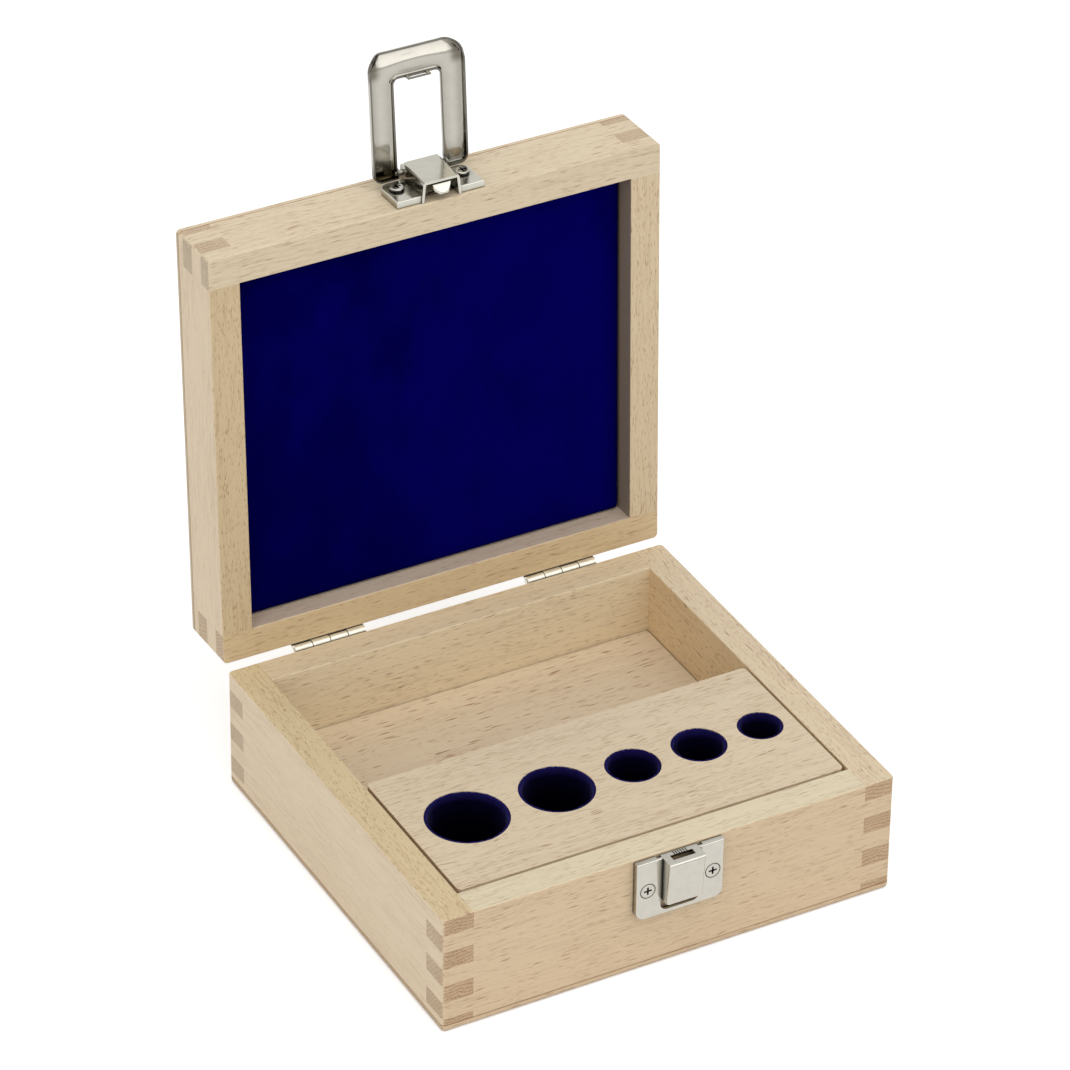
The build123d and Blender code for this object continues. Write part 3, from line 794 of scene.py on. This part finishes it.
def liner(number):
    """A velvet cup in one seat."""
    low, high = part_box(f"velvet_cup_{number}")
    middle = (low + high) / 2
    outside = (high.x - low.x) / 2
    radius = outside - cloth_thickness / 2
    floor_z = low.z + cloth_thickness / 2
    bpy.ops.object.select_all(action="DESELECT")
    bpy.ops.mesh.primitive_circle_add(vertices=96, radius=radius, fill_type="NGON",
                                      location=(middle.x, middle.y, floor_z))
    cup = bpy.context.object
    cup.name = f"seat_liner_{number}"
    bpy.ops.object.transform_apply(location=True, rotation=True, scale=True)
    edit(cup)
    bpy.ops.mesh.inset(thickness=radius * 0.15)
    for step in ((high.z - floor_z) - sum(rim_steps), *rim_steps):
        top = max(vertex.co.z for vertex in cup.data.vertices)
        choose(cup, "EDGE", lambda co: co.z > top - 1e-6
               and (co - Vector((middle.x, middle.y, co.z))).length > 0.95 * radius)
        pull(z=step)
    bpy.ops.mesh.select_all(action="SELECT")
    bpy.ops.mesh.remove_doubles(threshold=1e-6)
    bpy.ops.mesh.normals_make_consistent(inside=False)
    bpy.ops.object.mode_set(mode="OBJECT")
    apply(cup, "SOLIDIFY", "cloth", thickness=cloth_thickness, offset=0.0, use_even_offset=True)
    apply(cup, "BEVEL", "rim", width=rim_rounding, segments=2, limit_method="ANGLE",
          angle_limit=radians(60.0))
    apply(cup, "DISPLACE", "pile", texture=fuzz, strength=fuzz_strength, mid_level=0.62)
    bpy.ops.object.shade_smooth()
    cup.data.materials.append(seat_velvet)
    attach(cup, "base")
    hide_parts(f"velvet_cup_{number}")
    return cup


liners = [liner(number) for number in range(1, 6)]
print("liners with", [len(cup.data.vertices) for cup in liners], "points")

# %% [markdown]
# ## Nickel
#
# The latch is pressed from thin steel sheet and plated with bright nickel, which is a little
# warm in colour. The plating follows the sheet's fine rolling marks, so its mirror is soft. The
# hinges are rougher and hardly mirror at all. Where parts meet, shade is painted into the metal's
# colour: an Ambient Occlusion node tells how open each place is, and its power darkens the
# hollows.

# %% The metals
def plated(name, colour, roughness, marks, reach, hollow_shade_power, drawn=None):
    """Plated steel with fine marks, and painted shade where other parts are within reach.

    Marks is the marks' size in millimetres, its own each way. Drawn is a function that paints
    more shade or dark reflections on the tone.
    """
    material, tree, shader, coordinates = new_finish(name)
    place = in_millimetres(tree, coordinates)
    cloud = noise(tree, place, (3.0, 3.0, 3.0), 3.0)
    scratch = noise(tree, place, marks, 2.0)
    tone = mixed(tree, between(tree, cloud.outputs["Fac"], 0.3, 0.65),
                 (*[0.95 * c for c in colour], 1.0), (*colour, 1.0))
    if drawn is not None:
        tone = drawn(tree, place, tone)
    # Painted shade: the tone is darkened where the Ambient Occlusion node finds other parts close
    # by.
    sky = add_node(tree, "ShaderNodeAmbientOcclusion", samples=8, inputs={"Distance": reach})
    painted_shade = add_node(tree, "ShaderNodeVectorMath", operation="SCALE")
    join(tree, reckon(tree, "POWER", sky.outputs["AO"], hollow_shade_power), painted_shade.inputs["Scale"],
         tone, painted_shade.inputs[0], painted_shade.outputs[0], shader.inputs["Base Color"],
         between(tree, scratch.outputs["Fac"], 0.25, 0.75, 0.8 * roughness, 1.25 * roughness),
         shader.inputs["Roughness"])
    bumped(tree, shader, scratch.outputs["Fac"], 0.12, 0.00004)
    shader.inputs["Metallic"].default_value = 1.0
    return material


latch_nickel = plated("latch nickel", (0.56, 0.54, 0.475), roughness=0.15,
                      marks=(0.5, 6.0, 6.0), reach=0.002, hollow_shade_power=1.0)
screw_metal = plated("screw nickel", (0.52, 0.50, 0.45), roughness=0.2,
                     marks=(0.4, 0.4, 0.4), reach=0.0014, hollow_shade_power=6.0)
hinge_metal = plated("hinge nickel", (0.86, 0.82, 0.71), roughness=0.5,
                     marks=(0.3, 4.0, 4.0), reach=0.0006, hollow_shade_power=2.0)
metals = {"latch_plate": latch_nickel, "latch_spring": latch_nickel, "bail_pin": latch_nickel,
          "keeper_screws": screw_metal, "latch_screws": screw_metal}
for side in ("left", "right"):
    for part in ("base_leaf", "lid_leaf", "pin"):
        metals[f"hinge_{part}_{side}"] = hinge_metal
for node, metal in metals.items():
    dress(node, metal)
print("metals on", len(metals), "nodes")

# %% [markdown]
# The keeper's finest marks are painted shade: dark in its comb of slits, and a shadow round its
# two countersunk screws. They are thinner than the sheet, so they are drawn in the finish: the
# comb by folding the width over and over with the slits' spacing, the rings by their distance
# from the screws.

# %% The keeper and its painted shade
low, high = (1000.0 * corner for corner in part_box("keeper_screws"))
head = (high.z - low.z) / 2
keeper_middle = (low.x + high.x) / 2
screw_out = (high.x - low.x) / 2 - head
screw_height = (low.z + high.z) / 2
keeper_top = 1000.0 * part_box("keeper_plate")[1].z
comb_middle = 1000.0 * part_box("front_board")[0].y - 1.3
slit_spacing = 0.8


def keeper_painted_shade(tree, place, tone):
    """Painted shade in the slits of the keeper's top, and a ring of painted shadow round each
    screw.
    """
    parts = split(tree, place)
    from_middle = how_far(tree, parts["X"], keeper_middle)
    fold = reckon(tree, "PINGPONG", from_middle, slit_spacing / 2)
    slits = times(tree, between(tree, fold, 0.17, 0.27),
                  between(tree, from_middle, 2.25, 2.4, 1.0, 0.0))
    behind_slot = between(tree, how_far(tree, parts["Y"], comb_middle), 0.75, 0.85, 1.0, 0.0)
    on_top = between(tree, parts["Z"], keeper_top - 0.5, keeper_top - 0.4)
    slit_shade = times(tree, times(tree, slits, behind_slot), on_top)
    across = how_far(tree, from_middle, screw_out)
    upward = how_far(tree, parts["Z"], screw_height)
    squares = added(tree, times(tree, across, across), times(tree, upward, upward))
    from_ring = how_far(tree, reckon(tree, "SQRT", squares), head + 0.12)
    ring_shadow = between(tree, from_ring, 0.14, 0.26, 1.0, 0.0)
    # Painted shade and shadow darken the tone to this brown-black in the slits and round the
    # screws.
    return tinted(tree, tone, added(tree, slit_shade, ring_shadow), (0.16, 0.15, 0.13))


keeper_nickel = plated("keeper nickel", (0.53, 0.51, 0.455), roughness=0.16,
                       marks=(0.5, 6.0, 6.0), reach=0.0014, hollow_shade_power=3.0, drawn=keeper_painted_shade)
dress("keeper_plate", keeper_nickel)
print("comb and rings on the keeper, screw heads of", round(2 * head, 1), "mm")

# %% [markdown]
# ## The bail
#
# The bail is pressed from one sheet. Its border is rolled towards the wood all the way round, a
# lip flares away from the wood for a finger, and the press leaves an arched fold between lip and
# bar. A flat outline is cut first, as the press does. Its border is then inset a few times, a
# little deeper each time, which rolls it, and only at the end the sheet gets its thickness. It is
# drawn latched and shut, where it hangs upright in front of the case, and is then turned twice, by
# the bail's own angle and by the lid's.
#
# Dark reflections are painted on the lower ends of its arms and at its lip's corners. Both are
# drawn by height, where the bail stands when the case is open.

# %% The bail's plating and its painted reflections
arm_dark_reflection_below = 191.5
bail_middle = 1.5


def bail_painted_reflections(tree, place, tone):
    """Painted dark reflections on the lower ends of the bail's arms and at the corners of its lip.
    """
    parts = split(tree, place)
    cloud = noise(tree, place, (3.0, 3.0, 3.0), 3.0)
    height = added(tree, parts["Z"], times(tree, about_zero(tree, cloud), 3.0))
    # Painted reflection: the arms' lower ends are darkened, more on the left.
    below = between(tree, height, arm_dark_reflection_below - 8.0, arm_dark_reflection_below, 1.0, 0.0)
    leftward = between(tree, parts["X"], -2.0, 8.0, 1.0, 0.45)
    tone = tinted(tree, tone, times(tree, below, leftward), (0.12, 0.10, 0.055))
    # Painted reflection: the lip's corners are darkened.
    outward = between(tree, how_far(tree, parts["X"], bail_middle), 10.5, 13.5)
    corner = times(tree, outward, between(tree, parts["Z"], 213.5, 216.5))
    return tinted(tree, tone, corner, (0.42, 0.40, 0.37))


bail_nickel = plated("bail nickel", (0.46, 0.438, 0.385), roughness=0.10,
                     marks=(6.0, 0.5, 6.0), reach=0.003, hollow_shade_power=1.3, drawn=bail_painted_reflections)
cut_steel = plated("cut edge", (0.17, 0.16, 0.14), roughness=0.3,
                   marks=(0.3, 0.3, 0.3), reach=0.001, hollow_shade_power=1.0)
print("plating", bail_nickel.name, "and", cut_steel.name)

# %% The blank of the bail
pivot = Vector((0.0015, -0.0740, 0.0543))
bail_angle = radians(92.6)
sheet = 0.00055
round_pin = 0.0020
face_y = pivot.y - round_pin + sheet / 2
half_width = 0.0157 - sheet / 2
half_window = 0.0077 + sheet / 2
arm_end = pivot.z + round_pin - sheet / 2
window_end = 0.0239 + sheet / 2
fold_end = 0.0209
lip_tip = 0.0165
roll_width = 0.0015
roll_depth = 0.0008
hair = 1e-5


def near(value, other, limit=hair):
    """Whether two values are nearly the same."""
    return abs(value - other) < limit


def cut(axis, at):
    """Cut the whole mesh across an axis, in edit mode."""
    bpy.ops.mesh.select_all(action="SELECT")
    across = [float(name == axis) for name in "xyz"]
    bpy.ops.mesh.bisect(plane_co=[at * share for share in across], plane_no=across)


def round_corner(piece, x, z, radius, segments):
    """Round the outline's two corners at plus and minus x from the pivot."""
    choose(piece, "VERT", lambda co: near(abs(co.x - pivot.x), x) and near(co.z, z))
    bpy.ops.mesh.bevel(offset=radius, segments=segments, affect="VERTICES")


bpy.ops.object.select_all(action="DESELECT")
middle = Vector((pivot.x, face_y + roll_depth, (arm_end + lip_tip) / 2))
bpy.ops.mesh.primitive_plane_add(size=1.0, location=middle, rotation=(radians(90.0), 0.0, 0.0))
bail = bpy.context.object
bail.name = "bail"
bpy.ops.object.transform_apply(location=True, rotation=True, scale=True)
edit(bail)
bpy.ops.transform.resize(value=(2 * half_width, 1.0, arm_end - lip_tip), center_override=middle)
for side in (-1, 1):
    cut("x", pivot.x + side * half_window)
cut("z", window_end)
choose(bail, "FACE", lambda co: abs(co.x - pivot.x) < half_window + hair
       and co.z > window_end - hair)
bpy.ops.mesh.delete(type="FACE")
bpy.ops.mesh.select_all(action="SELECT")
bpy.ops.mesh.dissolve_faces()
round_corner(bail, half_width, lip_tip, radius=0.0046, segments=10)
round_corner(bail, half_width, arm_end, radius=0.0026, segments=7)
round_corner(bail, half_window, window_end, radius=0.0019, segments=6)
print("blank with", len(bail.data.vertices), "points")

# %% [markdown]
# The border is rolled by insets whose steps follow a quarter circle. The sheet is then cut into
# rows and columns, which give it points to bend at, and its free edge is drawn out towards the
# wood: shallow round the window and the lip, deep along the arms, and deepest at the lugs that
# hold the pin.

# %% Roll the border
tab_half = 0.00375
slot_half = 0.0028
lug_radius = 0.0017
roll_steps = 5
bend_row = 0.0004
bpy.ops.mesh.select_mode(type="FACE")
bpy.ops.mesh.select_all(action="SELECT")
for step in range(roll_steps):
    turned = radians(90.0 * step / roll_steps)
    further = radians(90.0 * (step + 1) / roll_steps)
    bpy.ops.mesh.inset(thickness=roll_width * (cos(turned) - cos(further)),
                       depth=roll_depth * (sin(further) - sin(turned)))
for millimetres in range(-14, 15, 2):
    cut("x", pivot.x + 0.001 * millimetres)
for out in (tab_half, slot_half):
    for side in (-1, 1):
        cut("x", pivot.x + side * out)
for row in range(1, 16):
    cut("z", lip_tip + bend_row * row)
for share in (-1.0, -0.87, -0.5, 0.0, 0.5):
    cut("z", pivot.z + share * lug_radius)
bpy.ops.mesh.select_all(action="DESELECT")
bpy.ops.mesh.select_mode(type="EDGE")
bpy.ops.mesh.select_non_manifold(extend=False)
pull(y=0.0010)
bpy.ops.object.mode_set(mode="OBJECT")


def eased(value, start, width):
    """A smooth step from zero at a start to one a width further on."""
    share = max(0.0, min(1.0, (value - start) / width))
    return share * share * (3 - 2 * share)


def border_depth(x, z):
    """How far the border is drawn towards the wood at a place on the outline."""
    shallow, arm, inner_arm, lug_foot = roll_depth + 0.0003, 0.0020, 0.0013, 0.0016
    if near(z, window_end, 0.0003) and x < half_window:
        return shallow
    if x < half_window + 0.0004 and z < arm_end - 0.0003:
        lug = lug_radius ** 2 - (z - pivot.z) ** 2
        return lug_foot + lug ** 0.5 if lug > 0.0 else inner_arm
    return shallow + (arm - shallow) * eased(z, fold_end - 0.0010, 0.0030)


free_edge = [vertex for vertex in bail.data.vertices if vertex.select]
for vertex in free_edge:
    vertex.co.y = face_y + border_depth(abs(vertex.co.x - pivot.x), vertex.co.z)
print("border of", len(free_edge), "points")

# %% [markdown]
# A small tab on the window's lower edge is folded back towards the wood and hooks under the
# keeper. It has a slot across it. The lip below the arched fold stands out evenly from the wood
# to 10 mm either side of its middle, and loses three quarters of its flare on the way to its
# ends.

# %% The hooked tab and the flare of the lip
tab_steps = (0.0003, 0.0014, 0.0004)
lip_out = 0.0030
fold_rise = 0.0015
fold_half = 0.0135
even_half, fading, lost = 0.0100, 0.0050, 0.75
edit(bail)
for step in tab_steps:
    deepest = max(vertex.co.y for vertex in bail.data.vertices
                  if abs(vertex.co.x - pivot.x) < tab_half and vertex.co.z > fold_end + 0.002)
    choose(bail, "EDGE", lambda co: abs(co.x - pivot.x) < tab_half + hair
           and near(co.y, deepest) and near(co.z, window_end, 0.0004))
    pull(y=step)
slot_end = deepest
slot_start = slot_end - tab_steps[1]
choose(bail, "FACE", lambda co: abs(co.x - pivot.x) < slot_half + hair
       and slot_start - hair < co.y < slot_end + hair and near(co.z, window_end, 0.0004))
bpy.ops.mesh.delete(type="FACE")
bpy.ops.object.mode_set(mode="OBJECT")


def flare(x, z):
    """How far the lip stands out at a place: nothing above the arched fold, less at its ends."""
    fold = fold_end - fold_rise * (1.0 - min(1.0, (x / fold_half) ** 2))
    slope = lip_out / (fold - lip_tip) * (1.0 - lost * eased(x, even_half, fading))
    below = fold - z
    if below < -bend_row:
        return 0.0
    if below > bend_row:
        return slope * below
    return slope * (below + bend_row) ** 2 / (4 * bend_row)


for vertex in bail.data.vertices:
    vertex.co.y -= flare(abs(vertex.co.x - pivot.x), vertex.co.z)
print("lip stands out by", round(1000 * flare(0.0, lip_tip), 1), "mm")

# %% Give the bail its thickness and open it
edit(bail)
bpy.ops.mesh.remove_doubles(threshold=hair)
bpy.ops.mesh.normals_make_consistent(inside=False)
bpy.ops.object.mode_set(mode="OBJECT")
bail.data.materials.append(bail_nickel)
bail.data.materials.append(cut_steel)
apply(bail, "SOLIDIFY", "sheet", thickness=sheet, offset=0.0, use_even_offset=False,
      use_quality_normals=True, material_offset_rim=1)
edit(bail)
bpy.ops.transform.rotate(value=bail_angle, orient_axis="X", center_override=pivot)
bpy.ops.transform.rotate(value=lid_angle, orient_axis="X", center_override=hinge_mm / 1000.0)
bpy.ops.mesh.normals_make_consistent(inside=False)
bpy.ops.object.mode_set(mode="OBJECT")
bpy.ops.object.shade_smooth_by_angle(angle=radians(40.0))
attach(bail, "bail")
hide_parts("bail_frame")
compare(bail, "bail_frame")

# %% [markdown]
# ## Finish
#
# Colours are shown as they are written, with the Standard view transform.

# %% Finish
bpy.context.scene.view_settings.view_transform = "Standard"
